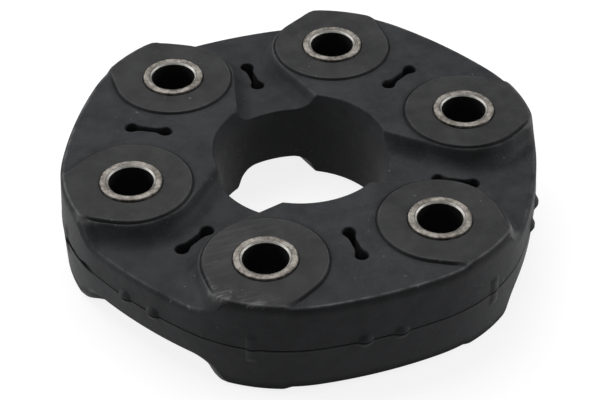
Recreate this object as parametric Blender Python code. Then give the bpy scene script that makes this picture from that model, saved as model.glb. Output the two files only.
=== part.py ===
"""Driveshaft flex disc.

A moulded rubber disc that joins two three-armed flanges. Six steel sleeves take the bolts.
Inside the rubber, endless cord loops run round neighbouring sleeves, and thin collars on
each sleeve keep the loops apart. Three segments of the disc hold one wide loop and are
thin, the three between them hold two narrow loops and are thick.

Metres, +Z along the shaft, origin on the shaft's axis in the plane of the lower sleeve faces.
Sleeve 1 lies on +X. The segment between sleeves 1 and 2 is a thick one.
"""
import math

import bmesh
import bpy
from mathutils import Matrix, Vector

# Bolt circle and sleeves
SLEEVES = 6
PITCH_RADIUS = 0.048
SLEEVE_LENGTH = 0.030
SLEEVE_BORE_RADIUS = 0.00607
SLEEVE_WALL = 0.00234
BORE_CHAMFER = 0.0008

# Room that a piece keeps to the next one
FIT = 0.0003

# Cord loops and collars
LOOP_DEPTH = 0.0053
MIDDLE_LOOP_WIDTH = 0.0096
COLLAR_THICKNESS = 0.0010
COLLAR_REACH = 0.0066

# Rubber that covers the inner pieces
PAD_TOP_COVER = 0.0019
PAD_SIDE_COVER = 0.0013
NOSE_COVER = 0.0037
WAIST_COVER = 0.0089
HOLE_COVER = 0.0036
FLOOR_COVER = 0.0031
PAD_SINK = 0.0006

# Outer wall
WAIST_ARC_RADIUS = 0.130
DRAFT = math.radians(2.5)
RIM_CHAMFER = 0.0010
NOSE_HALF_WIDTH = 0.0088

# Thick segments, whose faces fall away a little towards the rim
INNER_STEP = 0.0004
OUTER_STEP = 0.0008

# Thin segments, whose walls lean and end in a concave fillet and whose floors fall to the rim
LEDGE = 0.0007
WALL_LEAN = math.radians(20.0)
FLOOR_FILLET = 0.0048
FLOOR_FLAT = 0.0006
FLOOR_FALL = math.radians(0.7)

# Relief slot in each segment
SLOT_SHIFT = 0.0012
SLOT_SPAN = 0.0096
SLOT_BULB_RADIUS = 0.00185
SLOT_WAIST = 0.0009
SLOT_FLARE = 0.0040

# Small mouldings on the parting plane
NUB_SPREAD = 0.0050
NUB_RADIUS = 0.0022
NUB_PROUD = 0.0010
RIB_WIDTH = 0.0030
RIB_HEIGHT = 0.0090
RIB_PROUD = 0.0004

# How finely round things are divided
ROUND_STEPS = 24
COLLAR_STEPS = 16
PAD_STEPS = 20
WALL_STEPS = 8
BEND_STEPS = 8
ARC_STEPS = 6
FILLET_STEPS = 3

# Sizes that follow from the ones above
STEP = 2 * math.pi / SLEEVES
HALF_STEP = STEP / 2
MID_HEIGHT = SLEEVE_LENGTH / 2
SLEEVE_RADIUS = SLEEVE_BORE_RADIUS + SLEEVE_WALL
SEAT_RADIUS = SLEEVE_RADIUS + FIT
LOOP_RADIUS = SEAT_RADIUS + LOOP_DEPTH
COLLAR_RADIUS = SLEEVE_RADIUS + COLLAR_REACH
PAD_RADIUS = COLLAR_RADIUS + PAD_SIDE_COVER
CHORD_DISTANCE = PITCH_RADIUS * math.cos(HALF_STEP)
HOLE_RADIUS = CHORD_DISTANCE - LOOP_RADIUS - HOLE_COVER
NOSE_REACH = PITCH_RADIUS + COLLAR_RADIUS + NOSE_COVER
WAIST_REACH = CHORD_DISTANCE + LOOP_RADIUS + WAIST_COVER

PAD_HALF = MID_HEIGHT - PAD_SINK
END_COLLAR_TOP = PAD_HALF - PAD_TOP_COVER
DIVIDER_BOTTOM = MIDDLE_LOOP_WIDTH / 2 + FIT
DIVIDER_TOP = DIVIDER_BOTTOM + COLLAR_THICKNESS
END_COLLAR_BOTTOM = END_COLLAR_TOP - COLLAR_THICKNESS
NARROW_LOOP_WIDTH = END_COLLAR_BOTTOM - DIVIDER_TOP - 2 * FIT
NARROW_LOOP_LIFT = (END_COLLAR_BOTTOM + DIVIDER_TOP) / 2
FLOOR_HALF = DIVIDER_BOTTOM + FLOOR_COVER
INNER_HALF = PAD_HALF - INNER_STEP
OUTER_HALF = PAD_HALF - OUTER_STEP
CENTER = (0.0, 0.0, MID_HEIGHT)

# How far cutters run past the rubber, how near points merge, and the faces that shapes repeat on
CUT_PAST = 0.002
LID = PAD_HALF + CUT_PAST
WELD_DISTANCE = 0.00001
LEVELS = {"upper": False, "lower": True}


def clear_scene():
    for obj in list(bpy.data.objects):
        bpy.data.objects.remove(obj, do_unlink=True)


def make_material(name, color, roughness, metallic=0.0):
    material = bpy.data.materials.new(name)
    material.use_nodes = True
    shader = material.node_tree.nodes["Principled BSDF"]
    shader.inputs["Base Color"].default_value = (*color, 1.0)
    shader.inputs["Roughness"].default_value = roughness
    shader.inputs["Metallic"].default_value = metallic
    return material


def make_mesh(name, bm, material=None):
    """Turn a bmesh into a smooth-shaded mesh with its hard edges kept."""
    bmesh.ops.recalc_face_normals(bm, faces=bm.faces)
    mesh = bpy.data.meshes.new(name)
    bm.to_mesh(mesh)
    bm.free()
    mesh.shade_smooth()
    mesh.set_sharp_from_angle(angle=math.radians(30))
    if material:
        mesh.materials.append(material)
    return mesh


def place(name, mesh, location=(0, 0, 0), turn=0.0, flip=False):
    """Add one object for a mesh; flip turns it upside down about its own X axis."""
    obj = bpy.data.objects.new(name, mesh)
    obj.location = location
    obj.rotation_euler = (math.pi if flip else 0.0, 0.0, turn)
    bpy.context.scene.collection.objects.link(obj)
    return obj


def make_guide(name, mesh, group, **where):
    """Add an object that only cuts or adds shape and is no piece of its own."""
    obj = place(name, mesh, **where)
    obj.hide_render = True
    obj.display_type = "WIRE"
    bpy.context.scene.collection.objects.unlink(obj)
    group.objects.link(obj)
    return obj


def make_group(name):
    group = bpy.data.collections.new(name)
    bpy.context.scene.collection.children.link(group)
    return group


def add_boolean(obj, group, operation):
    modifier = obj.modifiers.new(group.name, "BOOLEAN")
    modifier.operation = operation
    modifier.operand_type = "COLLECTION"
    modifier.collection = group
    modifier.solver = "EXACT"
    weld = obj.modifiers.new(f"{group.name}_weld", "WELD")
    weld.merge_threshold = WELD_DISTANCE


def polar(radius, angle):
    return Vector((radius * math.cos(angle), radius * math.sin(angle)))


def arc(center, radius, start, end, steps):
    """Points on an arc, both ends among them."""
    return [center + polar(radius, start + (end - start) * i / steps) for i in range(steps + 1)]


def skin_rings(bm, rings, closed_tube=False):
    """Skin rings of equally many 3-D points; the ends get caps unless the tube closes on itself."""
    verts = [[bm.verts.new(point) for point in ring] for ring in rings]
    pairs = list(zip(verts, verts[1:]))
    if closed_tube:
        pairs.append((verts[-1], verts[0]))
    else:
        bm.faces.new(verts[0])
        bm.faces.new(verts[-1])
    count = len(rings[0])
    for lower, upper in pairs:
        for i in range(count):
            j = (i + 1) % count
            bm.faces.new((lower[i], lower[j], upper[j], upper[i]))


def at_height(points, height):
    return [(point.x, point.y, height) for point in points]


def prism_mesh(name, outline, low, high, material=None):
    bm = bmesh.new()
    skin_rings(bm, [at_height(outline, low), at_height(outline, high)])
    return make_mesh(name, bm, material)


def turned_mesh(name, profile, steps, material=None, closed=False):
    """Turn a profile of (radius, height) points round the Z axis."""
    bm = bmesh.new()
    rings = [at_height([polar(radius, 2 * math.pi * i / steps) for i in range(steps)], height)
             for radius, height in profile]
    skin_rings(bm, rings, closed_tube=closed)
    return make_mesh(name, bm, material)


def tangent_normal(first, first_radius, second, second_radius):
    """Unit normal of the line that touches two circles on the clockwise side of first to second."""
    along = (second - first).normalized()
    lean = (first_radius - second_radius) / (second - first).length
    return along * lean + Vector((along.y, -along.x)) * math.sqrt(1 - lean * lean)


def angle_of(vector):
    return math.atan2(vector.y, vector.x)


def wall_radius(angle):
    """Radius of the outer wall on the parting plane: nose and waist arcs that meet smoothly."""
    off_nose = abs((angle + HALF_STEP) % STEP - HALF_STEP)
    nose_gap = WAIST_ARC_RADIUS - NOSE_REACH
    waist_gap = WAIST_ARC_RADIUS - WAIST_REACH
    nose_center = (waist_gap**2 - nose_gap**2) / (2 * (nose_gap - waist_gap * math.cos(HALF_STEP)))
    nose_arc = NOSE_REACH - nose_center
    waist_center = polar(-waist_gap, HALF_STEP)
    meeting = waist_center + (Vector((nose_center, 0)) - waist_center).normalized() * WAIST_ARC_RADIUS
    if off_nose < angle_of(meeting):
        center, radius, off = nose_center, nose_arc, off_nose
    else:
        center, radius, off = -waist_gap, WAIST_ARC_RADIUS, HALF_STEP - off_nose
    return center * math.cos(off) + math.sqrt(radius**2 - (center * math.sin(off))**2)


def drafted_radius(angle, height):
    """Radius of the outer wall at a height off the parting plane."""
    return wall_radius(angle) - abs(height) * math.tan(DRAFT)


def ring_angles():
    """Directions of the wall's and the hole's points; none lies on a sleeve's own direction."""
    count = SLEEVES * WALL_STEPS
    return [2 * math.pi * (i + 0.5) / count for i in range(count)]


def wall_ring(height, drawn_in=0.0):
    return at_height([polar(drafted_radius(a, height) - drawn_in, a) for a in ring_angles()], height)


def hole_ring(height, drawn_in=0.0):
    return at_height([polar(HOLE_RADIUS - drawn_in, a) for a in ring_angles()], height)


def blank_mesh(material):
    """The disc before its faces are shaped: a ring as thick as the pads, with a drafted wall."""
    rings = [hole_ring(PAD_HALF), wall_ring(PAD_HALF), wall_ring(0.0), wall_ring(-PAD_HALF),
             hole_ring(-PAD_HALF)]
    bm = bmesh.new()
    skin_rings(bm, rings, closed_tube=True)
    return make_mesh("rubber_body", bm, material)


def face_mesh():
    """What lies above the thick segments: a shallow cone that ends in the rim's chamfer."""
    fall = (INNER_HALF - OUTER_HALF) / (WAIST_REACH - HOLE_RADIUS)
    shoulder = OUTER_HALF - RIM_CHAMFER - CUT_PAST
    rings = [hole_ring(LID, CUT_PAST), hole_ring(INNER_HALF + fall * CUT_PAST, CUT_PAST),
             wall_ring(OUTER_HALF, RIM_CHAMFER), wall_ring(shoulder, -CUT_PAST), wall_ring(LID, -CUT_PAST)]
    bm = bmesh.new()
    skin_rings(bm, rings, closed_tube=True)
    return make_mesh("face", bm)


def nose_corner(side):
    """Where a pad's edge meets the outer wall, seen from its sleeve; side is 1 or -1."""
    angle = side * NOSE_HALF_WIDTH / NOSE_REACH
    return polar(drafted_radius(angle, PAD_HALF), angle) - Vector((PITCH_RADIUS, 0))


def pad_mesh():
    """Keeps the face away from one pad: round, and open towards the outer wall."""
    center = Vector((0, 0))
    touch = angle_of(tangent_normal(center, PAD_RADIUS, nose_corner(-1), 0.0))
    outline = arc(center, PAD_RADIUS, -touch, 2 * math.pi + touch, PAD_STEPS)
    outward = Vector((3 * CUT_PAST, 0))
    outline += [nose_corner(-1), nose_corner(-1) + outward, nose_corner(1) + outward, nose_corner(1)]
    return prism_mesh("pad", outline, 0.0, LID + CUT_PAST)


def recess_side(offset, inner_end, outer_end):
    """One wall of a thin segment seen from above, its segment's middle along +X.

    The line leaves the hole's edge at the sleeve's own direction, touches a circle round the
    sleeve, bends round it and runs past the pad's nose. A larger offset lies nearer the middle.
    """
    hole_point = polar(HOLE_RADIUS, HALF_STEP)
    sleeve = polar(PITCH_RADIUS, HALF_STEP)
    boss = PAD_RADIUS + LEDGE + offset
    nose = sleeve + Matrix.Rotation(HALF_STEP, 2) @ nose_corner(-1)
    first = tangent_normal(hole_point, offset, sleeve, boss)
    last = tangent_normal(sleeve, boss, nose, LEDGE + offset)
    bend = arc(sleeve, boss, angle_of(first), angle_of(last), ARC_STEPS)
    start = hole_point + first * offset
    along = (bend[0] - start).normalized()
    entry = start + along * ((inner_end - start.x) / along.x)
    corner = nose + last * (LEDGE + offset)
    outward = polar(1.0, HALF_STEP)
    leave = corner + outward * ((outer_end - corner.x) / outward.x)
    return [entry, *bend, corner, leave]


def sloped(points, height):
    """Points at a height over the middle of a thin segment, falling towards the rim."""
    return [(point.x, point.y, height - (point.x - CHORD_DISTANCE) * math.tan(FLOOR_FALL)) for point in points]


def floor_fillet():
    """The fillet's radius, limited so that some flat floor is left where two pads stand closest."""
    room = PITCH_RADIUS * math.sin(HALF_STEP) - PAD_RADIUS - LEDGE - FLOOR_FLAT / 2
    spare = room - (PAD_HALF - FLOOR_HALF) * math.tan(WALL_LEAN)
    spread = math.cos(WALL_LEAN) - (1 - math.sin(WALL_LEAN)) * math.tan(WALL_LEAN)
    return min(FLOOR_FILLET, spare / spread)


def recess_mesh():
    """What a thin segment lacks on its upper face; leaning walls, a fillet and a flat floor."""
    fillet = floor_fillet()
    fillet_top = FLOOR_HALF + fillet * (1 - math.sin(WALL_LEAN))
    fillet_start = (PAD_HALF - fillet_top) * math.tan(WALL_LEAN)
    levels = [(-CUT_PAST * math.tan(WALL_LEAN), LID)]
    for i in range(FILLET_STEPS + 1):
        turn = WALL_LEAN + (math.pi / 2 - WALL_LEAN) * i / FILLET_STEPS
        level_offset = fillet_start + fillet * (math.cos(WALL_LEAN) - math.cos(turn))
        levels.append((level_offset, FLOOR_HALF + fillet * (1 - math.sin(turn))))
    inner_end = HOLE_RADIUS * math.cos(HALF_STEP) - CUT_PAST
    outer_end = NOSE_REACH + CUT_PAST
    sides = [sloped(recess_side(offset, inner_end, outer_end), height) for offset, height in levels]
    stations = []
    for points in zip(*sides):
        mirrored = [(x, -y, z) for x, y, z in reversed(points)]
        stations.append([*points, *mirrored])
    bm = bmesh.new()
    skin_rings(bm, stations)
    return make_mesh("recess", bm)


def sleeve_pocket_mesh():
    """What the rubber lacks round one sleeve: its seat and the four collars' rooms."""
    room = COLLAR_RADIUS + FIT
    bands = [(-END_COLLAR_TOP - FIT, -END_COLLAR_BOTTOM + FIT), (-DIVIDER_TOP - FIT, -DIVIDER_BOTTOM + FIT)]
    bands += [(-high, -low) for low, high in reversed(bands)]
    profile = [(SEAT_RADIUS, -LID)]
    for low, high in bands:
        profile += [(SEAT_RADIUS, low), (room, low), (room, high), (SEAT_RADIUS, high)]
    profile.append((SEAT_RADIUS, LID))
    return turned_mesh("sleeve_pocket", profile, COLLAR_STEPS)


def racetrack(radius, steps):
    """Outline round two neighbouring sleeves, the middle between them at the origin."""
    reach = PITCH_RADIUS * math.sin(HALF_STEP)
    return (arc(Vector((0, reach)), radius, 0.0, math.pi, steps)
            + arc(Vector((0, -reach)), radius, math.pi, 2 * math.pi, steps))


def loop_mesh(name, width, room=0.0, material=None):
    """An endless flat cord loop; room makes it larger all round."""
    outer = racetrack(LOOP_RADIUS + room, BEND_STEPS)
    inner = racetrack(SEAT_RADIUS - room, BEND_STEPS)
    half = width / 2 + room
    bm = bmesh.new()
    rings = [at_height(inner, -half), at_height(outer, -half), at_height(outer, half), at_height(inner, half)]
    skin_rings(bm, rings, closed_tube=True)
    return make_mesh(name, bm, material)


def slot_mesh():
    """A radial slot with a round bulb at each end that flares out of a narrow waist."""
    rise = SLOT_WAIST + SLOT_FLARE
    run = math.sqrt((SLOT_BULB_RADIUS + SLOT_FLARE) ** 2 - rise**2)
    meet = math.atan2(rise, -run)
    bulb = Vector((SLOT_SPAN / 2, 0))
    quarter = arc(bulb, SLOT_BULB_RADIUS, 0.0, meet, BEND_STEPS // 2)
    quarter += arc(bulb + Vector((-run, rise)), SLOT_FLARE, meet - math.pi, -math.pi / 2, FILLET_STEPS)[1:]
    half = quarter + [Vector((-point.x, point.y)) for point in reversed(quarter)]
    outline = half + [Vector((point.x, -point.y)) for point in reversed(half[1:-1])]
    return prism_mesh("slot", outline, -LID, LID)


def nub_mesh():
    bm = bmesh.new()
    bmesh.ops.create_icosphere(bm, subdivisions=2, radius=NUB_RADIUS)
    return make_mesh("nub", bm)


def rib_mesh():
    """A low upright rib with sloping ends."""
    half = RIB_HEIGHT / 2
    root = -CUT_PAST
    side = [(root, -half), (root, half), (RIB_PROUD, half - RIB_PROUD), (RIB_PROUD, RIB_PROUD - half)]
    bm = bmesh.new()
    skin_rings(bm, [[(x, y, z) for x, z in side] for y in (-RIB_WIDTH / 2, RIB_WIDTH / 2)])
    return make_mesh("rib", bm)


def segment_place(index):
    """Middle of the segment after a sleeve, and the direction it lies in."""
    turn = index * STEP + HALF_STEP
    spot = polar(CHORD_DISTANCE, turn)
    return (spot.x, spot.y, MID_HEIGHT), turn


def sleeve_place(index):
    turn = index * STEP
    spot = polar(PITCH_RADIUS, turn)
    return (spot.x, spot.y, MID_HEIGHT), turn


def build_sleeves(material):
    half = SLEEVE_LENGTH / 2
    bore = SLEEVE_BORE_RADIUS
    profile = [(SLEEVE_RADIUS, half), (SLEEVE_RADIUS, -half), (bore + BORE_CHAMFER, -half),
               (bore, BORE_CHAMFER - half), (bore, half - BORE_CHAMFER), (bore + BORE_CHAMFER, half)]
    mesh = turned_mesh("sleeve", profile, ROUND_STEPS, material, closed=True)
    for i in range(SLEEVES):
        location, turn = sleeve_place(i)
        place(f"sleeve_{i + 1}", mesh, location, turn)


def build_collars(material):
    half = COLLAR_THICKNESS / 2
    profile = [(COLLAR_RADIUS, half), (COLLAR_RADIUS, -half), (SEAT_RADIUS, -half), (SEAT_RADIUS, half)]
    mesh = turned_mesh("collar", profile, COLLAR_STEPS, material, closed=True)
    heights = {"bottom_collar": -END_COLLAR_BOTTOM - half, "lower_divider": -DIVIDER_BOTTOM - half,
               "upper_divider": DIVIDER_BOTTOM + half, "top_collar": END_COLLAR_BOTTOM + half}
    for i in range(SLEEVES):
        (x, y, z), turn = sleeve_place(i)
        for name, height in heights.items():
            place(f"{name}_{i + 1}", mesh, (x, y, z + height), turn)


def build_loops(material):
    """Two narrow loops in each thick segment, one wide loop in each thin one."""
    middle = loop_mesh("middle_loop", MIDDLE_LOOP_WIDTH, material=material)
    narrow = loop_mesh("narrow_loop", NARROW_LOOP_WIDTH, material=material)
    for i in range(SLEEVES):
        (x, y, z), turn = segment_place(i)
        number = i // 2 + 1
        if i % 2:
            place(f"middle_cord_loop_{number}", middle, (x, y, z), turn)
        else:
            place(f"top_cord_loop_{number}", narrow, (x, y, z + NARROW_LOOP_LIFT), turn)
            place(f"bottom_cord_loop_{number}", narrow, (x, y, z - NARROW_LOOP_LIFT), turn)


def shape_faces(body):
    """Lower both faces round the pads, then sink the thin segments."""
    pads = make_group("pads")
    faces = make_group("faces")
    recesses = make_group("recesses")
    pad = pad_mesh()
    for level, flip in LEVELS.items():
        face = make_guide(f"{level}_face", face_mesh(), faces, location=CENTER, flip=flip)
        add_boolean(face, pads, "DIFFERENCE")
    for i in range(SLEEVES):
        location, turn = sleeve_place(i)
        for level, flip in LEVELS.items():
            make_guide(f"{level}_pad_{i + 1}", pad, pads, location=location, turn=turn, flip=flip)
    recess = recess_mesh()
    for i in range(1, SLEEVES, 2):
        turn = segment_place(i)[1]
        for level, flip in LEVELS.items():
            make_guide(f"{level}_recess_{i + 1}", recess, recesses, location=CENTER, turn=turn, flip=flip)
    add_boolean(body, faces, "DIFFERENCE")
    add_boolean(body, recesses, "DIFFERENCE")


def add_mouldings(body):
    """Two nubs on each segment's wall and a rib on each nose."""
    mouldings = make_group("mouldings")
    nub = nub_mesh()
    rib = rib_mesh()
    for i in range(SLEEVES):
        turn = segment_place(i)[1]
        for side in (-1, 1):
            angle = turn + side * NUB_SPREAD / WAIST_REACH
            spot = polar(wall_radius(angle) + NUB_PROUD - NUB_RADIUS, angle)
            make_guide(f"nub_{i + 1}_{side + 2}", nub, mouldings, location=(spot.x, spot.y, MID_HEIGHT))
        turn = sleeve_place(i)[1]
        spot = polar(NOSE_REACH, turn)
        make_guide(f"rib_{i + 1}", rib, mouldings, location=(spot.x, spot.y, MID_HEIGHT), turn=turn)
    add_boolean(body, mouldings, "UNION")


def cut_rooms(body):
    """Open the sleeves' seats, the rooms for collars and loops, and the relief slots."""
    rooms = make_group("rooms")
    slot = slot_mesh()
    pocket = sleeve_pocket_mesh()
    middle = loop_mesh("middle_loop_room", MIDDLE_LOOP_WIDTH, FIT)
    narrow = loop_mesh("narrow_loop_room", NARROW_LOOP_WIDTH, FIT)
    for i in range(SLEEVES):
        location, turn = sleeve_place(i)
        make_guide(f"sleeve_pocket_{i + 1}", pocket, rooms, location=location, turn=turn)
        (x, y, z), turn = segment_place(i)
        shift = polar(SLOT_SHIFT, turn)
        make_guide(f"slot_{i + 1}", slot, rooms, location=(x + shift.x, y + shift.y, z), turn=turn)
        if i % 2:
            make_guide(f"middle_loop_room_{i + 1}", middle, rooms, location=(x, y, z), turn=turn)
        else:
            for name, lift in (("top", NARROW_LOOP_LIFT), ("bottom", -NARROW_LOOP_LIFT)):
                make_guide(f"{name}_loop_room_{i + 1}", narrow, rooms, location=(x, y, z + lift), turn=turn)
    add_boolean(body, rooms, "DIFFERENCE")


def build_body(material):
    body = place("rubber_body", blank_mesh(material), location=CENTER)
    shape_faces(body)
    add_mouldings(body)
    cut_rooms(body)


def main():
    clear_scene()
    rubber = make_material("rubber", (0.035, 0.037, 0.040), 0.62)
    steel = make_material("sleeve_steel", (0.46, 0.44, 0.41), 0.38, 1.0)
    cord = make_material("cord", (0.62, 0.55, 0.38), 0.80)
    collar = make_material("collar_steel", (0.40, 0.41, 0.42), 0.45, 1.0)
    build_body(rubber)
    build_sleeves(steel)
    build_loops(cord)
    build_collars(collar)


main()
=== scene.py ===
"""Looks of the driveshaft flex disc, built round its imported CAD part.

The rubber body is remade here as one fine closed mesh. Its upper face is a height over the
plan, cut into triangles along the lines where its shape changes. One sector of 60 degrees
round a sleeve is made, then mirrored and turned into the whole ring and its lower face.
Shapes are worked out in millimetres, heights from the parting plane half way up.
"""
import math

import bpy
import numpy as np
from mathutils import Matrix, Vector
from mathutils.geometry import delaunay_2d_cdt


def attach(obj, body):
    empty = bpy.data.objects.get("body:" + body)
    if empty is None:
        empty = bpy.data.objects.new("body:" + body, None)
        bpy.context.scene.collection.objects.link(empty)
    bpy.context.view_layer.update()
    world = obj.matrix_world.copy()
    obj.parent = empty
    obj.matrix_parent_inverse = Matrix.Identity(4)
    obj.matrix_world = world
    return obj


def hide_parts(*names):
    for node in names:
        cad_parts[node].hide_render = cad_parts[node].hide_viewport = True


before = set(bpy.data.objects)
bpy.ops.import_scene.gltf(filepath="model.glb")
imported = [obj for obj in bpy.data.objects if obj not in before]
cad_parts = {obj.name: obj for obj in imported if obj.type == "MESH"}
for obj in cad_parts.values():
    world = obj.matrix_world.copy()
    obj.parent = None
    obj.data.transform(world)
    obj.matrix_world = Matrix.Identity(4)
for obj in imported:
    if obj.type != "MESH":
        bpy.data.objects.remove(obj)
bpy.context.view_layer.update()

# Bolt circle and sleeves
SLEEVES = 6
PITCH = 48.0
MID = 15.0
SLEEVE_BORE = 6.07
SLEEVE_OUTSIDE = 8.41
SEAT = 8.55

# Rubber body in plan
SECTOR = math.pi / SLEEVES
HOLE = 23.96
NOSE = 66.7
WAIST = 64.48
WAIST_ARC = 130.0
PAD = 16.3
NOSE_HALF = 8.8
LEDGE = 0.7
STRAIGHT_FROM = 55.0
CORNER_ROUND = 3.8
CORNER_SHIFT = 0.4

# Rubber body in height, from the parting plane
PAD_TOP = 14.4
RAISED = 13.85
RIM_FALL = 0.3
RIM_FALL_REACH = 22.0
FLOOR_IN = 8.5
FLOOR_OUT = 8.0
WALL_LEAN = math.radians(20.0)
FILLET = 4.8
DRAFT = math.tan(math.radians(2.5))
PAD_STEP = 0.45
GROOVE_OFFSET = 0.38
GROOVE_WIDTH = 0.2
GROOVE_DEPTH = 0.12

# Rounded edges
RIM_ROUND = 0.95
LIP_ROUND = 1.4
HOLE_ROUND = 0.5
SLOT_ROUND = 0.4
SEAT_ROUND = 0.35
WALL_BLEND = 1.1

# Relief slots
SLOT_CENTER = 42.77
SLOT_HALF = 4.8
SLOT_BULB = 1.85
SLOT_WAIST = 0.9
SLOT_FLARE = 4.0
SLOT_RISE = SLOT_WAIST + SLOT_FLARE
SLOT_RUN = math.sqrt((SLOT_BULB + SLOT_FLARE) ** 2 - SLOT_RISE**2)

# Mouldings on the wall
NUB_ANGLE = math.radians(25.6)
NUB_RADIUS = 2.25
NUB_PROUD = 1.0
RIB_HALF = 1.7
RIB_REACH = 4.7
RIB_PROUD = 0.38
PARTING_DEPTH = 0.22
PARTING_WIDTH = 0.17

# Rows of the mesh: insets from each edge, and heights on the wall
RIM_INSETS = (0.0, 0.04, 0.14, 0.3, 0.52, 0.75, 0.95, 1.4)
RIM_INNER_INSET = 2.8
HOLE_INSETS = (0.0, 0.03, 0.12, 0.28, 0.5, 1.2)
SEAT_INSETS = ((0.0, 96), (0.03, 96), (0.1, 96), (0.2, 96), (0.35, 96), (1.2, 48), (3.2, 40), (5.6, 40))
PAD_OFFSETS = (-0.5, -0.3, -0.15, 0.0, 0.12, 0.25, 0.38, 0.52, 0.75)
RECESS_OFFSETS = (-0.35, -0.1, 0.1, 0.25, 0.4, 0.55, 0.75, 1.0, 1.4, 1.8, 2.3, 2.8, 3.4, 4.0, 4.7, 5.4, 6.2)
SLOT_OFFSETS = (0.0, 0.04, 0.13, 0.25, 0.4, 0.9)
WALL_HEIGHTS = (0.0, 0.07, 0.15, 0.25, 0.38, 0.55, 0.8, 1.1, 1.45, 1.85, 2.3, 3.0, 3.9, 4.8)
LINE_STEP = 1.2
WELD = 1e-5

# Marks on the rubber, in metres
SCUFFED_CORNER = (-0.0395, -0.0495, 0)
SWEPT_PAD = (-0.0270, -0.0360, 0)
DUSTY_WALL = (-0.0160, 0.0178, 0.0145)
OPEN_PARTING = (-0.0660, -0.0070, 0)

# The photo's camera, found from its six sleeve rings; places as shares of the bolt circle's radius
PHOTO_WIDTH = 600
FOCAL_LENGTH = 2082.1
SENSOR = 36.0
VIEW_TURN = math.radians(-19.0)
VIEW_ELEVATION = math.radians(39.5)
VIEW_ROLL = math.radians(-0.27)
VIEW_PLACE = (-0.005, -0.322, 11.822)


def unit(vector):
    return vector / np.linalg.norm(vector)


def wall_radius(angle):
    """Radius of the outer wall on the parting plane: nose and waist arcs that meet smoothly."""
    off = np.abs((angle + SECTOR) % (2 * SECTOR) - SECTOR)
    nose_gap = WAIST_ARC - NOSE
    waist_gap = WAIST_ARC - WAIST
    nose_center = (waist_gap**2 - nose_gap**2) / (2 * (nose_gap - waist_gap * math.cos(SECTOR)))
    nose_arc = NOSE - nose_center
    waist_center = -waist_gap * np.array([math.cos(SECTOR), math.sin(SECTOR)])
    toward = unit(np.array([nose_center, 0.0]) - waist_center)
    meeting = waist_center + toward * WAIST_ARC
    limit = math.atan2(meeting[1], meeting[0])
    far = SECTOR - off
    nose = nose_center * np.cos(off) + np.sqrt(nose_arc**2 - (nose_center * np.sin(off)) ** 2)
    waist = -waist_gap * np.cos(far) + np.sqrt(WAIST_ARC**2 - (waist_gap * np.sin(far)) ** 2)
    return np.where(off < limit, nose, waist)


CORNER_ANGLE = NOSE_HALF / NOSE
CORNER_REACH = float(wall_radius(np.array(CORNER_ANGLE)))
CORNER = CORNER_REACH * np.array([math.cos(CORNER_ANGLE), math.sin(CORNER_ANGLE)])
TIP = np.array([HOLE, 0.0])
SLEEVE = np.array([PITCH, 0.0])
FLIP = np.array([1.0, 1.0, -1.0])


def touch_normal(first, first_radius, second, second_radius):
    """Unit normal of the line that touches two circles on their left side."""
    along = unit(second - first)
    lean = (first_radius - second_radius) / np.linalg.norm(second - first)
    return along * lean + np.array([-along[1], along[0]]) * math.sqrt(1 - lean * lean)


def hull_distance(points, first, first_radius, second, second_radius):
    """Signed distance to the hull of two circles."""
    along = unit(second - first)
    length = np.linalg.norm(second - first)
    offset = points - first
    run = offset @ along
    side = np.abs(offset[:, 0] * along[1] - offset[:, 1] * along[0])
    lean = (first_radius - second_radius) / length
    flat = math.sqrt(1 - lean * lean)
    where = run * flat - side * lean
    near = np.hypot(side, run) - first_radius
    far = np.hypot(side, run - length) - second_radius
    between = side * flat + run * lean - first_radius
    return np.where(where < 0, near, np.where(where > flat * length, far, between))


def pad_distance(points):
    """Distance to the pad, which is round and open towards the outer wall."""
    mirrored = np.stack([points[:, 0], np.abs(points[:, 1])], axis=1)
    disc = hull_distance(mirrored, SLEEVE, PAD, CORNER, 0.0)
    strip = np.where(mirrored[:, 0] > STRAIGHT_FROM, mirrored[:, 1] - CORNER[1], math.inf)
    return np.minimum(disc, strip)


def recess_distance(points):
    """Distance into the thin segment from the top edge of its wall; the thin side is at -Y."""
    across = -points[:, 1]
    plan = np.stack([points[:, 0], np.maximum(across, 0.0)], axis=1)
    inner = hull_distance(plan, TIP, 0.0, SLEEVE, PAD + LEDGE)
    outer = hull_distance(plan, SLEEVE, PAD + LEDGE, CORNER, LEDGE)
    strip = np.where(plan[:, 0] > STRAIGHT_FROM, plan[:, 1] - CORNER[1] - LEDGE, math.inf)
    straight = np.minimum(np.minimum(inner, outer), strip) + np.minimum(across, 0.0)
    from_rim = np.maximum(CORNER_ROUND - rim_distance(points), 0.0)
    rounded = np.hypot(from_rim, np.maximum(CORNER_ROUND + straight, 0.0)) - CORNER_ROUND
    return np.maximum(straight, rounded - CORNER_SHIFT)


def slot_distance(points):
    """Distance to the nearer slot, whose middle line bounds the sector."""
    best = None
    for side in (-1, 1):
        angle = side * SECTOR
        along = points[:, 0] * math.cos(angle) + points[:, 1] * math.sin(angle) - SLOT_CENTER
        across = np.abs(points[:, 1] * math.cos(angle) - points[:, 0] * math.sin(angle))
        along = np.abs(along)
        bulb = np.hypot(along - SLOT_HALF, across) - SLOT_BULB
        flare = SLOT_FLARE - np.hypot(along - SLOT_HALF + SLOT_RUN, across - SLOT_RISE)
        beside = (SLOT_HALF - along) * SLOT_RISE > across * SLOT_RUN
        ending = np.where(beside, flare, bulb)
        distance = np.where(along < SLOT_HALF - SLOT_RUN, across - SLOT_WAIST, ending)
        best = distance if best is None else np.minimum(best, distance)
    return best


def hole_distance(points):
    return np.hypot(points[:, 0], points[:, 1]) - HOLE


def rim_distance(points):
    return wall_radius(np.arctan2(points[:, 1], points[:, 0])) - np.hypot(points[:, 0], points[:, 1])


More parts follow.
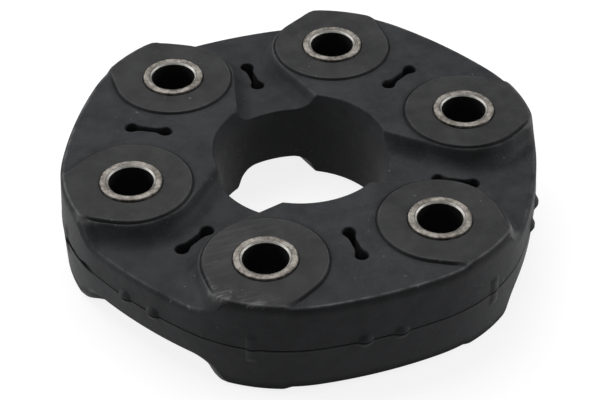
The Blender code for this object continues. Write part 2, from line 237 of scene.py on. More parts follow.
def seat_distance(points):
    return np.hypot(points[:, 0] - PITCH, points[:, 1]) - SEAT


def smooth_step(value):
    value = np.clip(value, 0.0, 1.0)
    return value * value * (3 - 2 * value)


def smooth_min(first, second, width):
    share = np.maximum(width - np.abs(first - second), 0.0) / width
    return np.minimum(first, second) - share * share * width / 4


def band(distance, place, width):
    """A soft line of 1 where the distance is place, gone two widths away."""
    return np.exp(-(((distance - place) / width) ** 2))


def edge_drop(distance, radius):
    """How far a rounded edge lies below the surface it ends."""
    inside = np.clip(radius - distance, 0.0, radius)
    return radius - np.sqrt(radius**2 - inside**2)


def groove_fade(rim):
    """The groove round the pad runs out before it meets the rim."""
    return smooth_step((rim - 1.2) / 3.0)


def surface(points):
    """Height of the upper face over the plan of one sector."""
    share = (np.hypot(points[:, 0], points[:, 1]) - HOLE) / (WAIST - HOLE)
    rim = rim_distance(points)
    raised = RAISED - RIM_FALL * smooth_step(1 - rim / RIM_FALL_REACH)
    ledge = (points[:, 1] < 0) * smooth_step(1 - (rim - 0.4) / 2.4)
    raised = raised + (PAD_TOP - 0.05 - raised) * ledge
    floor = FLOOR_IN + (FLOOR_OUT - FLOOR_IN) * share
    pad = pad_distance(points)
    softer = 1 + 4 * smooth_step(1 - rim / 4.0)
    step = smooth_step((pad / PAD_STEP - 1 / 6) / softer + 0.5)
    height = raised + (PAD_TOP - raised) * (1 - step)
    height -= GROOVE_DEPTH * band(pad, GROOVE_OFFSET, GROOVE_WIDTH) * groove_fade(rim)
    recess = recess_distance(points)
    fillet_top = floor + FILLET * (1 - math.sin(WALL_LEAN))
    start = (PAD_TOP - fillet_top) * math.tan(WALL_LEAN)
    lean = PAD_TOP - recess / math.tan(WALL_LEAN)
    reach = np.clip(math.cos(WALL_LEAN) - (recess - start) / FILLET, 0.0, 1.0)
    bowl = floor + FILLET * (1 - np.sqrt(1 - reach**2))
    height = smooth_min(height, np.where(recess < start, lean, bowl), WALL_BLEND)
    height -= edge_drop(hole_distance(points), HOLE_ROUND)
    height -= edge_drop(slot_distance(points), SLOT_ROUND)
    height -= edge_drop(seat_distance(points), SEAT_ROUND)
    lip = RIM_ROUND + (LIP_ROUND - RIM_ROUND) * smooth_step((recess - 1.0) / 4.0)
    return height - edge_drop(rim, lip)


def surface_tone(points):
    """Painted light on the upper face: painted highlights along the pad's edge, the recess's lip, the rim's
    rounding, the hole's edge and the nose's corner (above 0), painted shade in the groove round the pad and
    on the rim's very edge (below 0).
    """
    pad = pad_distance(points)
    recess = recess_distance(points)
    rim = rim_distance(points)
    level = recess < 0.4
    nose_tip = smooth_step((0.9 - recess) / 0.6) * smooth_step((recess + 0.5) / 0.4)
    nose_tip = nose_tip * smooth_step((4.5 - rim) / 2.0)
    # Painted shade in the groove round the pad.
    tone = -0.8 * band(pad, GROOVE_OFFSET, 0.3) * level * groove_fade(rim)
    # Painted highlights on the pad's edge, the recess's lip, the rim's rounding, the hole's edge and the
    # nose's corner.
    tone += 0.4 * band(pad, -0.22, 0.2)
    tone += 0.5 * band(recess, 0.1, 0.25) * (pad > 0.4)
    tone += np.where(level, 1.0, 0.5) * band(rim, 0.75, 0.26)
    tone += 0.2 * band(hole_distance(points), 0.4, 0.25)
    tone += 0.9 * nose_tip
    # Painted shade on the rim's very edge.
    tone -= (0.1 + 0.4 * level) * band(rim, 0.0, 0.25)
    return np.clip(tone, -1, 1)


def surface_normal(points):
    step = 0.02
    slope_x = (surface(points + [step, 0]) - surface(points - [step, 0])) / (2 * step)
    slope_y = (surface(points + [0, step]) - surface(points - [0, step])) / (2 * step)
    normal = np.stack([-slope_x, -slope_y, np.ones(len(points))], axis=1)
    return normal / np.linalg.norm(normal, axis=1, keepdims=True)


def wall_relief(angle, height):
    """Nubs, rib and parting groove with its raised lips, as a distance off the plain drafted wall."""
    around = angle * NOSE
    relief = RIB_PROUD * np.clip(1 - (around / RIB_HALF) ** 2, 0, 1)
    relief = relief * smooth_step((RIB_REACH - np.abs(height)) / 1.0)
    for side in (-1, 1):
        reach = np.hypot((angle - side * NUB_ANGLE) * WAIST, height)
        relief = relief + NUB_PROUD * np.clip(1 - (reach / NUB_RADIUS) ** 2, 0, 1)
    relief = relief + 0.05 * band(np.abs(height), 0.5, 0.22)
    return relief - PARTING_DEPTH * band(height, 0.0, PARTING_WIDTH)


def wall_point(angle, height):
    radius = wall_radius(angle) - DRAFT * np.abs(height) + wall_relief(angle, height)
    return np.stack([radius * np.cos(angle), radius * np.sin(angle), height], axis=-1)


def wall_normal(angle, height):
    step = 0.0008
    turn = wall_point(angle + step, height) - wall_point(angle - step, height)
    rise = wall_point(angle, height + 0.03) - wall_point(angle, height - 0.03)
    normal = np.cross(turn, rise)
    return normal / np.linalg.norm(normal, axis=-1, keepdims=True)


def divide(points, step):
    """The same line with points no further apart than step."""
    points = np.asarray(points, float)
    out = [points[:1]]
    for first, last in zip(points, points[1:]):
        count = max(1, math.ceil(np.linalg.norm(last - first) / step))
        out.append(first + (last - first) * np.arange(1, count + 1)[:, None] / count)
    return np.concatenate(out)


def arc(center, radius, start, end, step):
    count = max(2, math.ceil(abs(end - start) * abs(radius) / step))
    angles = start + (end - start) * np.arange(count + 1) / count
    return center + radius * np.stack([np.cos(angles), np.sin(angles)], axis=1)


def direction(vector):
    return math.atan2(vector[1], vector[0])


def pad_line(offset, step):
    """Half of the pad's outline, moved outwards by offset."""
    normal = touch_normal(SLEEVE, PAD, CORNER, 0.0)
    bend = arc(SLEEVE, PAD + offset, math.pi, direction(normal), step)
    end = CORNER + normal * offset
    run = unit(end - bend[-1])
    return np.concatenate([bend, divide([bend[-1], end + run * 3], step)[1:]])


def recess_line(offset, step):
    """The recess's top edge, moved towards the middle of the segment by offset."""
    first = touch_normal(TIP, 0.0, SLEEVE, PAD + LEDGE)
    last = touch_normal(SLEEVE, PAD + LEDGE, CORNER, LEDGE)
    bend = arc(SLEEVE, PAD + LEDGE + offset, direction(first), direction(last), step)
    begin = TIP + first * offset
    run = unit(bend[0] - begin)
    end = CORNER + last * (LEDGE + offset)
    leave = unit(end - bend[-1])
    entry = divide([begin - run * 2, bend[0]], step)
    exit_run = divide([bend[-1], end + leave * 3], step)
    return np.concatenate([entry, bend[1:], exit_run[1:]])


def slot_line(offset, side):
    """Half of a slot's outline, on the sector's side of its middle line."""
    bulb = SLOT_BULB + offset
    meet = math.atan2(SLOT_RISE, SLOT_RUN)
    inner = arc(np.array([-SLOT_HALF, 0.0]), bulb, math.pi, meet, 0.4)
    flare_center = np.array([SLOT_RUN - SLOT_HALF, SLOT_RISE])
    flare = arc(flare_center, SLOT_FLARE - offset, meet - math.pi, -math.pi / 2, 0.5)
    half = np.concatenate([inner, flare[1:]])
    mirrored = half[::-1] * [-1, 1]
    line = np.concatenate([half, divide([half[-1], mirrored[0]], 0.8)[1:], mirrored[1:]])
    line[:, 0] += SLOT_CENTER
    line[:, 1] *= -side
    turn = side * SECTOR
    return line @ np.array([[math.cos(turn), math.sin(turn)], [-math.sin(turn), math.cos(turn)]])


def ring_line(radius_of, angles):
    radius = radius_of(angles)
    return np.stack([radius * np.cos(angles), radius * np.sin(angles)], axis=1)


def wall_angles():
    """Directions of the wall's columns: close together at the nubs, the nose's corners and the rib."""
    zones = [(-30.0, -28.0, 1.0), (-28.0, -23.2, 0.3), (-23.2, -14.2, 0.9), (-14.2, -7.0, 0.36),
             (-7.0, -1.6, 0.9), (-1.6, 1.6, 0.267), (1.6, 6.2, 0.92), (6.2, 9.0, 0.47),
             (9.0, 23.2, 0.95), (23.2, 28.0, 0.3), (28.0, 30.0, 1.0)]
    angles = [-30.0]
    for low, high, step in zones:
        count = max(1, round((high - low) / step))
        angles += [low + (high - low) * i / count for i in range(1, count + 1)]
    return np.radians(angles)


def sector_lines():
    """The lines that the plan's triangles keep to."""
    fine = wall_angles()
    lines = []
    for inset in RIM_INSETS:
        lines.append(ring_line(lambda a: wall_radius(a) - inset, fine))
    coarse = np.linspace(-SECTOR, SECTOR, 49)
    lines.append(ring_line(lambda a: wall_radius(a) - RIM_INNER_INSET, coarse))
    hole = np.linspace(-SECTOR, SECTOR, 73)
    for inset in HOLE_INSETS:
        lines.append(ring_line(lambda a: np.full_like(a, HOLE + inset), hole))
    for inset, count in SEAT_INSETS:
        angles = np.linspace(0, 2 * math.pi, count + 1)
        lines.append(SLEEVE + (SEAT + inset) * np.stack([np.cos(angles), np.sin(angles)], axis=1))
    for offset in PAD_OFFSETS:
        line = pad_line(offset, LINE_STEP)
        lines += [line, line * [1, -1]]
    for offset in RECESS_OFFSETS:
        lines.append(recess_line(offset, LINE_STEP) * [1, -1])
    for offset in SLOT_OFFSETS:
        lines += [slot_line(offset, -1), slot_line(offset, 1)]
    for side in (-1, 1):
        lines.append(divide([polar(HOLE, side * SECTOR), polar(WAIST, side * SECTOR)], 1.5))
    return lines


def polar(radius, angle):
    return np.array([radius * math.cos(angle), radius * math.sin(angle)])


def fill_points():
    """Points on the plain areas between the lines."""
    spacing = 2.1
    grid = []
    for row in range(40):
        for column in range(70):
            grid.append((20 + (column + 0.5 * (row % 2)) * spacing * 0.9, (row - 20) * spacing * 0.85))
    grid = np.array(grid)
    angle = np.abs(np.arctan2(grid[:, 1], grid[:, 0]))
    radius = np.hypot(grid[:, 0], grid[:, 1])
    clear = (angle < SECTOR) & ((SECTOR - angle) * radius > 0.9)
    clear &= (hole_distance(grid) > 1.9) & (rim_distance(grid) > 3.5) & (seat_distance(grid) > 6.5)
    clear &= (slot_distance(grid) > 1.5) & (np.abs(pad_distance(grid)) > 1.3)
    recess = recess_distance(grid)
    clear &= (recess > 6.9) | (recess < -1.0)
    return grid[clear]


def sector_plan():
    """Triangles of one sector's plan, keeping to its lines."""
    points = []
    edges = []
    for line in sector_lines():
        edges += [(len(points) + i, len(points) + i + 1) for i in range(len(line) - 1)]
        points += [Vector(p) for p in line]
    points += [Vector(p) for p in fill_points()]
    result = delaunay_2d_cdt(points, edges, [], 0, 1e-5)
    plan = np.array([tuple(v) for v in result[0]])
    faces = np.array([f for f in result[2] if len(f) == 3])
    angle = np.arctan2(plan[:, 1], plan[:, 0])
    radius = np.hypot(plan[:, 0], plan[:, 1])
    for side in (-1, 1):
        on_side = np.abs(angle - side * SECTOR) * radius < 1e-4
        plan[on_side] = radius[on_side, None] * polar(1.0, side * SECTOR)
    middle = plan[faces].mean(axis=1)
    keep = np.abs(np.arctan2(middle[:, 1], middle[:, 0])) < SECTOR
    for distance in (hole_distance, rim_distance, seat_distance, slot_distance):
        keep &= distance(middle) > 0
    faces = faces[keep]
    first, second, third = (plan[faces[:, i]] for i in range(3))
    area = (second[:, 0] - first[:, 0]) * (third[:, 1] - first[:, 1])
    area -= (second[:, 1] - first[:, 1]) * (third[:, 0] - first[:, 0])
    faces[area < 0] = faces[area < 0][:, ::-1]
    used = np.unique(faces)
    order = np.full(len(plan), -1)
    order[used] = np.arange(len(used))
    return plan[used], order[faces[np.abs(area) > 1e-9]]


def border_edges(faces):
    """Edges that only one face has, in that face's direction."""
    edges = np.concatenate([faces[:, [0, 1]], faces[:, [1, 2]], faces[:, [2, 0]]])
    owned = {(a, b) for a, b in edges.tolist()}
    return [(a, b) for a, b in owned if (b, a) not in owned]


class Skin:
    """Blocks of faces, each with its corners' places, normals and tones, joined into one mesh at the end."""

    def __init__(self):
        self.blocks = []

    def add(self, place, normal, tone):
        """Arrays of shape (faces, corners, 3), (faces, corners, 3) and (faces, corners)."""
        self.blocks.append((place, normal, tone))

    def turned(self, angle, mirrored):
        """A copy of the blocks, mirrored in Y first where asked, then turned round the disc's axis."""
        c, s = math.cos(angle), math.sin(angle)
        spin = np.array([[c, -s, 0], [s, c, 0], [0, 0, 1]])
        if not mirrored:
            return [(place @ spin.T, normal @ spin.T, tone) for place, normal, tone in self.blocks]
        spin = spin @ np.diag([1.0, -1.0, 1.0])
        return [((place @ spin.T)[:, ::-1], (normal @ spin.T)[:, ::-1], tone[:, ::-1])
                for place, normal, tone in self.blocks]


def border_groups(plan, faces):
    """The border edges by the wall that hangs from them, without the cuts between sectors."""
    distances = {"rim": rim_distance, "hole": hole_distance, "seat": seat_distance, "slot": slot_distance}
    tests = {name: distance(plan) for name, distance in distances.items()}
    on_cut = np.abs(np.abs(np.arctan2(plan[:, 1], plan[:, 0])) - SECTOR) < 1e-9
    groups = {name: [] for name in distances}
    for a, b in border_edges(faces):
        near = {name: max(abs(values[a]), abs(values[b])) for name, values in tests.items()}
        name = min(near, key=near.get)
        if near[name] < 0.02 and not (on_cut[a] and on_cut[b]):
            groups[name].append((a, b))
    return {name: np.array(edges) for name, edges in groups.items()}


def rim_rows(ends, angle):
    """Places, normals and tones of the outer wall, row by row from the lower face to the upper; the tones
    are painted shade along the parting groove and under the top edge.
    """
    high = ends[:, :, 2]
    last = WALL_HEIGHTS[-1]
    upper = [np.full_like(high, level) for level in WALL_HEIGHTS]
    upper += [last + (high - last) * share for share in (0.25, 0.5, 0.75, 1.0)]
    levels = np.stack([*[-row for row in upper[::-1]], *upper[1:]])
    angles = np.broadcast_to(angle, levels.shape)
    place = wall_point(angles, levels)
    place[0] = ends * FLIP
    place[-1] = ends
    # Painted shade: darker along the parting groove and in a band under the wall's top edge.
    shade = 0.1 + 0.45 * smooth_step((high - 10.5) / 2.0)
    tone = -0.9 * band(levels, 0.0, 0.2) - shade * band(np.abs(levels) - high, 0.0, 0.5)
    return place, wall_normal(angles, levels), tone


def upright_rows(ends, name):
    """The same for an upright wall: the hole's, a sleeve seat's or a slot's."""
    if name == "hole":
        out = -ends[:, :, :2] / HOLE
    elif name == "seat":
        out = -(ends[:, :, :2] - SLEEVE) / SEAT
    else:
        run = ends[:, 1, :2] - ends[:, 0, :2]
        side = np.stack([run[:, 1], -run[:, 0]], axis=1)
        side /= np.linalg.norm(side, axis=1, keepdims=True)
        out = np.repeat(side[:, None, :], 2, axis=1)
    levels = np.stack([ends[:, :, 2] * share for share in (-1.0, -0.6, -0.2, 0.0, 0.2, 0.6, 1.0)])
    flat = np.broadcast_to(ends[:, :, :2], (*levels.shape, 2))
    place = np.concatenate([flat, levels[..., None]], axis=-1)
    level_out = np.broadcast_to(out, (*levels.shape, 2))
    normal = np.concatenate([level_out, np.zeros((*levels.shape, 1))], axis=-1)
    return place, normal, np.zeros(levels.shape)


def sector_skin():
    """One sector with both faces and all its walls."""
    plan, faces = sector_plan()
    height = surface(plan)
    normal = surface_normal(plan)
    angle = np.arctan2(plan[:, 1], plan[:, 0])
    rim = rim_distance(plan)
    on_rim = rim < 1e-4
    normal[on_rim] = wall_normal(angle[on_rim], height[on_rim])
    drawn = 1 - smooth_step(rim / 8.0)
    scale = 1 - drawn * DRAFT * height / np.hypot(plan[:, 0], plan[:, 1])
    point = np.column_stack([plan * scale[:, None], height])
    tone = surface_tone(plan)
    skin = Skin()
    skin.add(point[faces], normal[faces], tone[faces])
    back = faces[:, ::-1]
    skin.add(point[back] * FLIP, normal[back] * FLIP, tone[back])
    for name, pairs in border_groups(plan, faces).items():
        ends = point[pairs]
        rows = rim_rows(ends, angle[pairs]) if name == "rim" else upright_rows(ends, name)
        for row in range(len(rows[0]) - 1):
            corners = [(row + 1, 1), (row + 1, 0), (row, 0), (row, 1)]
            stacks = [[array[r][:, c] for r, c in corners] for array in rows]
            skin.add(*[np.stack(stack, axis=1) for stack in stacks])
    return skin


def build_body():
    """The whole rubber body, from six turned and mirrored sectors welded along their cuts."""
    sector = sector_skin()
    blocks = []
    for index in range(SLEEVES):
        blocks += sector.turned(index * 2 * SECTOR, index % 2 == 1)
    points = np.concatenate([place.reshape(-1, 3) for place, _, _ in blocks])
    normals = np.concatenate([normal.reshape(-1, 3) for _, normal, _ in blocks])
    tones = np.concatenate([tone.reshape(-1) for _, _, tone in blocks])
    sizes = np.concatenate([np.full(tone.shape[0], tone.shape[1]) for _, _, tone in blocks])
    keys = np.round(points / WELD).astype(np.int64)
    _, first, member = np.unique(keys, axis=0, return_index=True, return_inverse=True)
    member = member.reshape(-1).tolist()
    ends = np.cumsum(sizes)
    faces = []
    corners = []
    for start, end in zip((ends - sizes).tolist(), ends.tolist()):
        around = range(start, end)
        picked = [i for i in around if member[i] != member[i - 1 if i > start else end - 1]]
        if len(picked) > 2:
            faces.append([member[i] for i in picked])
            corners += picked
    mesh = bpy.data.meshes.new("rubber_disc")
    mesh.from_pydata((points[first] / 1000 + [0, 0, MID / 1000]).tolist(), [], faces)
    mesh.shade_smooth()
    # The tone attribute carries the painted highlights and painted shade to the rubber's material.
    layer = mesh.attributes.new("tone", "FLOAT", "CORNER")
    layer.data.foreach_set("value", tones[corners].astype(np.float32))
    mesh.normals_split_custom_set(normals[corners].tolist())
    mesh.update()
    body = bpy.data.objects.new("rubber_disc", mesh)
    bpy.context.scene.collection.objects.link(body)
    return body


def turned_mesh(name, profile, steps, wobble=None):
    """Turn a closed profile of (radius, height) points in millimetres round the Z axis."""
    verts = []
    for i in range(steps):
        angle = 2 * math.pi * i / steps
        for j, (radius, height) in enumerate(profile):
            reach = radius + (wobble(angle, j) if wobble else 0.0)
            verts.append((reach * math.cos(angle) / 1000, reach * math.sin(angle) / 1000, height / 1000))
    count = len(profile)
    faces = []
    for i in range(steps):
        j = (i + 1) % steps
        for k in range(count):
            m = (k + 1) % count
            faces.append((i * count + k, i * count + m, j * count + m, j * count + k))
    mesh = bpy.data.meshes.new(name)
    mesh.from_pydata(verts, [], faces)
    mesh.shade_smooth()
    mesh.update()
    return mesh


def build_sleeves():
    """Steel tubes with a turned bevel at the bore and a slightly burred outer edge."""
    top = MID
    outer = SLEEVE_OUTSIDE
    bore = SLEEVE_BORE
    upper = [(bore, 0.0), (bore, 13.6), (bore, top - 0.58), (bore + 0.06, top - 0.5),
             (bore + 0.4, top - 0.1), (bore + 0.48, top - 0.03), (bore + 0.58, top), (bore + 1.0, top),
             (outer - 0.45, top), (outer - 0.2, top - 0.01), (outer - 0.1, top - 0.06),
             (outer - 0.02, top - 0.16), (outer, top - 0.32), (outer, top - 1.2)]
    profile = upper + [(radius, -height) for radius, height in reversed(upper[1:])]
    sleeves = []
    for index in range(SLEEVES):
        shift = 1.7 * index

        def wobble(angle, level, shift=shift):
            rough = math.sin(7 * angle + shift) + math.sin(13 * angle + 2.3 * shift)
            rough += math.sin(29 * angle + shift)
            return 0.018 * rough if level in (8, 9, 10, 11) else 0.0

        mesh = turned_mesh(f"steel_sleeve_{index + 1}", profile, 96, wobble)
        sleeve = bpy.data.objects.new(mesh.name, mesh)
        turn = index * 2 * SECTOR
        sleeve.location = (PITCH * math.cos(turn) / 1000, PITCH * math.sin(turn) / 1000, MID / 1000)
        sleeve.rotation_euler = (0, 0, 0.9 * index)
        bpy.context.scene.collection.objects.link(sleeve)
        sleeves.append(sleeve)
    return sleeves


class Nodes:
    """Short calls to build a material's node tree."""

    def __init__(self, name):
        self.material = bpy.data.materials.new(name)
        self.material.use_nodes = True
        self.tree = self.material.node_tree
        self.shader = self.tree.nodes["Principled BSDF"]

    def add(self, kind, inputs=None, **settings):
        node = self.tree.nodes.new(kind)
        for key, value in settings.items():
            setattr(node, key, value)
        for key, value in (inputs or {}).items():
            if isinstance(value, bpy.types.NodeSocket):
                self.tree.links.new(value, node.inputs[key])
            else:
                node.inputs[key].default_value = value
        return node

    def coordinates(self):
        return self.add("ShaderNodeTexCoord").outputs["Object"]

    def plan(self, split):
        inputs = {"X": split.outputs["X"], "Y": split.outputs["Y"]}
        return self.add("ShaderNodeCombineXYZ", inputs).outputs["Vector"]

    def length(self, vector):
        return self.add("ShaderNodeVectorMath", {0: vector}, operation="LENGTH").outputs["Value"]

    def streaks(self, flat, turn, across, along, detail, roughness):
        """Noise drawn out into lines that lie at an angle in plan."""
        inputs = {"Vector": flat, "Rotation": (0, 0, math.radians(turn)), "Scale": (across, along, 1)}
        vector = self.add("ShaderNodeMapping", inputs).outputs["Vector"]
        return self.noise(vector, 1.0, detail, roughness)

    def noise(self, vector, scale, detail, roughness):
        inputs = {"Vector": vector, "Scale": scale, "Detail": detail, "Roughness": roughness}
        return self.add("ShaderNodeTexNoise", inputs).outputs["Fac"]

    def ramp(self, value, low, high, low_value=0.0, high_value=1.0):
        """The value's range from low to high laid onto low_value to high_value, and held at its ends."""
        inputs = {"Value": value, "From Min": low, "From Max": high}
        inputs.update({"To Min": low_value, "To Max": high_value})
        return self.add("ShaderNodeMapRange", inputs).outputs["Result"]

    def times(self, first, *others):
        for other in others:
            first = self.math("MULTIPLY", first, other)
        return first

    def math(self, operation, first, second):
        return self.add("ShaderNodeMath", {0: first, 1: second}, operation=operation).outputs["Value"]

    def distance(self, vector, place):
        node = self.add("ShaderNodeVectorMath", {0: vector, 1: place}, operation="DISTANCE")
        return node.outputs["Value"]

    def mix(self, share, first, second):
        node = self.add("ShaderNodeMix", data_type="RGBA")
        for socket, value in zip((node.inputs[0], node.inputs[6], node.inputs[7]), (share, first, second)):
            if isinstance(value, bpy.types.NodeSocket):
                self.tree.links.new(value, socket)
            else:
                socket.default_value = value
        return node.outputs[2]

    def bump(self, height, strength, distance, normal=None):
        inputs = {"Height": height, "Strength": strength, "Distance": distance}
        if normal is not None:
            inputs["Normal"] = normal
        return self.add("ShaderNodeBump", inputs).outputs["Normal"]

    def feed(self, name, value):
        if isinstance(value, bpy.types.NodeSocket):
            self.tree.links.new(value, self.shader.inputs[name])
        else:
            self.shader.inputs[name].default_value = value


def scuffed(m, base, flat, above, wavy):
    """Pale strokes on the corner of one pad, thickest along the rim, and a fainter sweep near them."""
    strokes = m.streaks(flat, 22, 90, 1300, 4.0, 0.65)
    corner = m.ramp(m.distance(flat, SCUFFED_CORNER), 0.0170, 0.0050)
    border = m.times(m.ramp(m.length(flat), 0.0600, 0.0645), m.ramp(strokes, 0.46, 0.62))
    middle = m.times(m.ramp(strokes, 0.60, 0.74), 0.5)
    scuff = m.times(m.math("MAXIMUM", border, middle), corner, above, m.ramp(wavy, 0.36, 0.56))
    base = m.mix(m.times(scuff, 0.85), base, (0.230, 0.228, 0.222, 1))
    sweep = m.ramp(m.streaks(flat, -48, 55, 420, 3.0, 0.6), 0.48, 0.68)
    sweep = m.times(sweep, m.ramp(m.distance(flat, SWEPT_PAD), 0.0160, 0.0060), above)
    return m.mix(m.times(sweep, 0.35), base, (0.110, 0.110, 0.110, 1))


def dusted(m, base, spot):
    """Light specks in loose groups, and closer together low on the hole's wall."""
    groups = m.ramp(m.noise(spot, 38.0, 3.0, 0.6), 0.48, 0.60)
    speck = m.times(m.ramp(m.noise(spot, 640.0, 2.0, 0.5), 0.715, 0.75), groups)
    dusty = m.ramp(m.distance(spot, DUSTY_WALL), 0.0095, 0.0040)
    dusty = m.times(m.ramp(m.noise(spot, 1050.0, 2.0, 0.5), 0.63, 0.67), dusty)
    return m.mix(m.times(m.math("MAXIMUM", speck, dusty), 0.55), base, (0.21, 0.21, 0.20, 1))


def parting_gap(m, height, flat, wavy):
    """Share of the short stretch where the mould's halves left the parting line open."""
    off_line = m.math("ABSOLUTE", m.math("SUBTRACT", height, MID / 1000), 0.0)
    off_line = m.math("ADD", off_line, m.ramp(wavy, 0.35, 0.65, 0.0004, -0.0003))
    stretch = m.ramp(m.distance(flat, OPEN_PARTING), 0.0100, 0.0060)
    return m.times(m.ramp(off_line, 0.00085, 0.00070), stretch, m.ramp(m.length(flat), 0.0600, 0.0620))


def rubber_material():
    """Moulded black rubber: matt with a soft sheen, mottled, with painted highlights on its rounded edges,
    painted shade in its grooves and along the rim, dust specks and scuffs.
    """
    m = Nodes("moulded_rubber")
    spot = m.coordinates()
    split = m.add("ShaderNodeSeparateXYZ", {"Vector": spot})
    height = split.outputs["Z"]
    flat = m.plan(split)
    above = m.ramp(height, 0.0283, 0.0288)
    cloudy = m.noise(spot, 48.0, 5.0, 0.62)
    wavy = m.noise(spot, 190.0, 4.0, 0.6)
    fine = m.noise(spot, 1300.0, 3.0, 0.65)
    grain = m.noise(spot, 4200.0, 2.0, 0.5)
    tone = m.add("ShaderNodeAttribute", attribute_name="tone").outputs["Fac"]
    # Painted shade where the tone attribute is below 0; it also dulls the roughness.
    painted_shade = m.ramp(tone, 0.0, -1.0)

    mottle = m.math("ADD", m.ramp(cloudy, 0.36, 0.64, 0.0, 0.42), m.ramp(wavy, 0.36, 0.64, 0.0, 0.3))
    mottle = m.math("ADD", mottle, m.ramp(fine, 0.34, 0.66, 0.0, 0.28))
    base = m.mix(mottle, (0.0165, 0.0172, 0.0190, 1), (0.0482, 0.0496, 0.0526, 1))
    pads = m.times(m.ramp(height, 0.0291, 0.0293), m.ramp(cloudy, 0.3, 0.6, 0.04, 0.14))
    base = m.mix(pads, base, (0.086, 0.081, 0.072, 1))
    # Painted highlight where the tone attribute is above 0, broken up by noise.
    painted_highlight = m.times(m.ramp(tone, 0.1, 1.0), m.ramp(wavy, 0.38, 0.62, 0.1, 0.7))
    base = m.mix(painted_highlight, base, (0.170, 0.170, 0.172, 1))
    # Painted shade: near black in the grooves, along the rim's edge and along the parting line.
    base = m.mix(m.times(painted_shade, 0.92), base, (0.0030, 0.0032, 0.0035, 1))
    base = scuffed(m, base, flat, above, wavy)
    base = dusted(m, base, spot)
    gap = parting_gap(m, height, flat, wavy)
    m.feed("Base Color", m.mix(gap, base, (0.0020, 0.0020, 0.0022, 1)))

    rough = m.math("ADD", m.ramp(cloudy, 0.3, 0.7, 0.48, 0.62), m.ramp(fine, 0.3, 0.7, -0.06, 0.06))
    dull = m.math("MAXIMUM", m.times(painted_shade, 0.3), m.times(gap, 0.5))
    m.feed("Roughness", m.math("ADD", rough, dull))
    m.feed("Specular IOR Level", 0.13)
    normal = m.bump(wavy, 0.35, 0.0006)
    normal = m.bump(fine, 0.35, 0.00012, normal)
    m.feed("Normal", m.bump(grain, 0.2, 0.00005, normal))
    return m.material


def sleeve_material():
    """Cut steel tube: warm grey and stained, a painted highlight on the bevel, painted shade in the bore."""
    m = Nodes("cut_steel")
    spot = m.coordinates()
    split = m.add("ShaderNodeSeparateXYZ", {"Vector": spot})
    radius = m.length(m.plan(split))
    rings = m.add("ShaderNodeCombineXYZ", {"X": radius}).outputs["Vector"]
    marks = m.noise(rings, 5200.0, 3.0, 0.7)
    mottle = m.noise(spot, 560.0, 5.0, 0.72)
    stain = m.noise(spot, 190.0, 4.0, 0.6)
    bore = m.ramp(radius, 0.00616, 0.00611)
    face = m.ramp(radius, 0.00652, 0.00664)
    line = m.times(m.ramp(radius, 0.00654, 0.00664), m.ramp(radius, 0.00688, 0.00674))
    base = m.mix(m.ramp(mottle, 0.36, 0.64), (0.110, 0.100, 0.088, 1), (0.400, 0.375, 0.340, 1))
    base = m.mix(m.ramp(stain, 0.48, 0.66, 0.0, 0.7), base, (0.085, 0.073, 0.060, 1))
    # Painted highlight: the bevel is painted brighter than the face.
    bevel = m.mix(m.ramp(mottle, 0.34, 0.66), (0.42, 0.405, 0.375, 1), (0.68, 0.665, 0.635, 1))
    base = m.mix(face, bevel, base)
    base = m.mix(m.times(line, 0.65), base, (0.050, 0.045, 0.040, 1))
    # Painted shade in the bore: near black and not metallic.
    painted_bore_shade = m.mix(m.ramp(mottle, 0.3, 0.7), (0.0022, 0.0024, 0.0024, 1), (0.0070, 0.0072, 0.0070, 1))
    m.feed("Base Color", m.mix(bore, base, painted_bore_shade))
    m.feed("Metallic", m.ramp(bore, 0.0, 1.0, 1.0, 0.0))
    rough = m.ramp(mottle, 0.25, 0.75, 0.44, 0.66)
    m.feed("Roughness", m.math("ADD", rough, m.times(bore, 0.2)))
    m.feed("Specular IOR Level", 0.2)
    normal = m.bump(marks, 0.18, 0.00008)
    m.feed("Normal", m.bump(mottle, 0.6, 0.0002, normal))
    return m.material


def cord_material():
    """Wound cord bedded in rubber: pale strands side by side."""
    m = Nodes("wound_cord")
    spot = m.coordinates()
    split = m.add("ShaderNodeSeparateXYZ", {"Vector": spot})
    layers = m.add("ShaderNodeCombineXYZ", {"Z": split.outputs["Z"]}).outputs["Vector"]
    winding = {"Vector": layers, "Scale": 260.0, "Distortion": 1.5, "Detail": 2.0}
    strands = m.add("ShaderNodeTexWave", winding, bands_direction="Z").outputs["Fac"]
    fuzz = m.noise(spot, 2400.0, 3.0, 0.6)
    base = m.mix(strands, (0.30, 0.25, 0.16, 1), (0.66, 0.59, 0.42, 1))
    m.feed("Base Color", m.mix(m.ramp(fuzz, 0.35, 0.7, 0.0, 0.35), base, (0.10, 0.09, 0.08, 1)))
    m.feed("Roughness", m.ramp(fuzz, 0.3, 0.7, 0.72, 0.88))
    m.feed("Normal", m.bump(strands, 0.5, 0.0002, m.bump(fuzz, 0.3, 0.0001)))
    return m.material


def collar_material():
    """Pressed steel washer with a phosphate finish."""
    m = Nodes("pressed_steel")
    spot = m.coordinates()
    cloud = m.noise(spot, 300.0, 4.0, 0.6)
    m.feed("Base Color", m.mix(m.ramp(cloud, 0.3, 0.7), (0.24, 0.25, 0.26, 1), (0.44, 0.45, 0.46, 1)))
    m.feed("Metallic", 1.0)
    m.feed("Roughness", m.ramp(cloud, 0.3, 0.7, 0.38, 0.55))
    m.feed("Normal", m.bump(m.noise(spot, 1800.0, 3.0, 0.6), 0.3, 0.00008))
    return m.material


def paint(obj, material):
    obj.data.materials.clear()
    obj.data.materials.append(material)


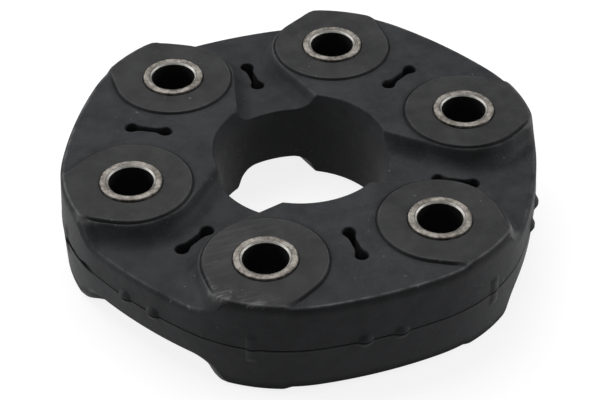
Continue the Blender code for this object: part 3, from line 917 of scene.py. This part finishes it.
def build_floor():
    """A white floor: its own colour keeps the object's shadow, and its glow is only for the camera."""
    size = 3.0
    corners = [(-size, -size, 0), (size, -size, 0), (size, size, 0), (-size, size, 0)]
    mesh = bpy.data.meshes.new("studio_floor")
    mesh.from_pydata(corners, [], [(0, 1, 2, 3)])
    floor = bpy.data.objects.new("studio_floor", mesh)
    floor.location.z = -0.0002
    bpy.context.scene.collection.objects.link(floor)
    m = Nodes("studio_white")
    m.feed("Base Color", (0.25, 0.25, 0.25, 1))
    m.feed("Roughness", 0.9)
    m.feed("Specular IOR Level", 0.0)
    path = m.add("ShaderNodeLightPath")
    seen = m.math("MAXIMUM", path.outputs["Is Camera Ray"], path.outputs["Is Glossy Ray"])
    seen = m.math("MAXIMUM", seen, path.outputs["Is Transmission Ray"])
    m.feed("Emission Color", (1, 1, 1, 1))
    m.feed("Emission Strength", m.times(seen, 0.84))
    floor.data.materials.append(m.material)


def build_world():
    """Soft light from all round, the same for the camera as for the object."""
    world = bpy.data.worlds.new("studio")
    bpy.context.scene.world = world
    world.use_nodes = True
    soft = world.node_tree.nodes["Background"]
    soft.inputs["Color"].default_value = (1, 1, 1, 1)
    soft.inputs["Strength"].default_value = 0.22


def add_lamp(name, place, size, power, target=(0, 0, 0.015)):
    light = bpy.data.lights.new(name, "AREA")
    light.shape = "RECTANGLE"
    light.size, light.size_y = size
    light.energy = power
    lamp = bpy.data.objects.new(name, light)
    lamp.location = place
    lamp.rotation_euler = (Vector(target) - Vector(place)).to_track_quat("-Z", "Y").to_euler()
    bpy.context.scene.collection.objects.link(lamp)
    return lamp


def view_axes(turn, elevation, roll):
    """Right, up and backward directions of a camera that circles the disc's axis."""
    spin = Matrix.Rotation(turn, 3, "Z")
    right = spin @ Vector((1, 0, 0))
    up = spin @ Vector((0, math.sin(elevation), math.cos(elevation)))
    back = spin @ Vector((0, -math.cos(elevation), math.sin(elevation)))
    c, s = math.cos(roll), math.sin(roll)
    return c * right + s * up, c * up - s * right, back


def build_camera():
    """The photo's view, from the fit of the six sleeve rings."""
    right, up, back = view_axes(VIEW_TURN, VIEW_ELEVATION, VIEW_ROLL)
    across, rise, away = VIEW_PLACE
    place = PITCH / 1000 * (across * right + rise * up + away * back) + Vector((0, 0, 2 * MID / 1000))
    data = bpy.data.cameras.new("photo_view")
    data.sensor_width = SENSOR
    data.lens = FOCAL_LENGTH * SENSOR / PHOTO_WIDTH
    data.clip_start = 0.05
    data.clip_end = 20.0
    camera = bpy.data.objects.new("photo_view", data)
    camera.matrix_world = Matrix.Translation(place) @ Matrix((right, up, back)).transposed().to_4x4()
    bpy.context.scene.collection.objects.link(camera)
    bpy.context.scene.camera = camera
    return right, back


def studio_place(right, back, across, away, height):
    """A place given across the view, away from the camera along the floor, and up."""
    level = Vector((back.x, back.y, 0)).normalized()
    return Vector((right.x, right.y, 0)).normalized() * across - level * away + Vector((0, 0, height))


def main():
    body = build_body()
    paint(body, rubber_material())
    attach(body, "root")
    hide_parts("rubber_body")
    steel = sleeve_material()
    for index, sleeve in enumerate(build_sleeves()):
        paint(sleeve, steel)
        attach(sleeve, "root")
        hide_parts(f"sleeve_{index + 1}")
    cord = cord_material()
    collar = collar_material()
    for name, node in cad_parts.items():
        if "cord_loop" in name:
            paint(node, cord)
        elif "collar" in name or "divider" in name:
            paint(node, collar)

    build_floor()
    build_world()
    right, back = build_camera()
    add_lamp("top_soft", studio_place(right, back, -0.3, 0.6, 1.25), (1.5, 1.0), 14.5)
    for name, across in (("left_soft", -1.2), ("right_soft", 1.2)):
        add_lamp(name, studio_place(right, back, across, 0.15, 0.35), (0.5, 0.5), 5.0)
    bpy.context.scene.view_settings.view_transform = "Standard"


main()
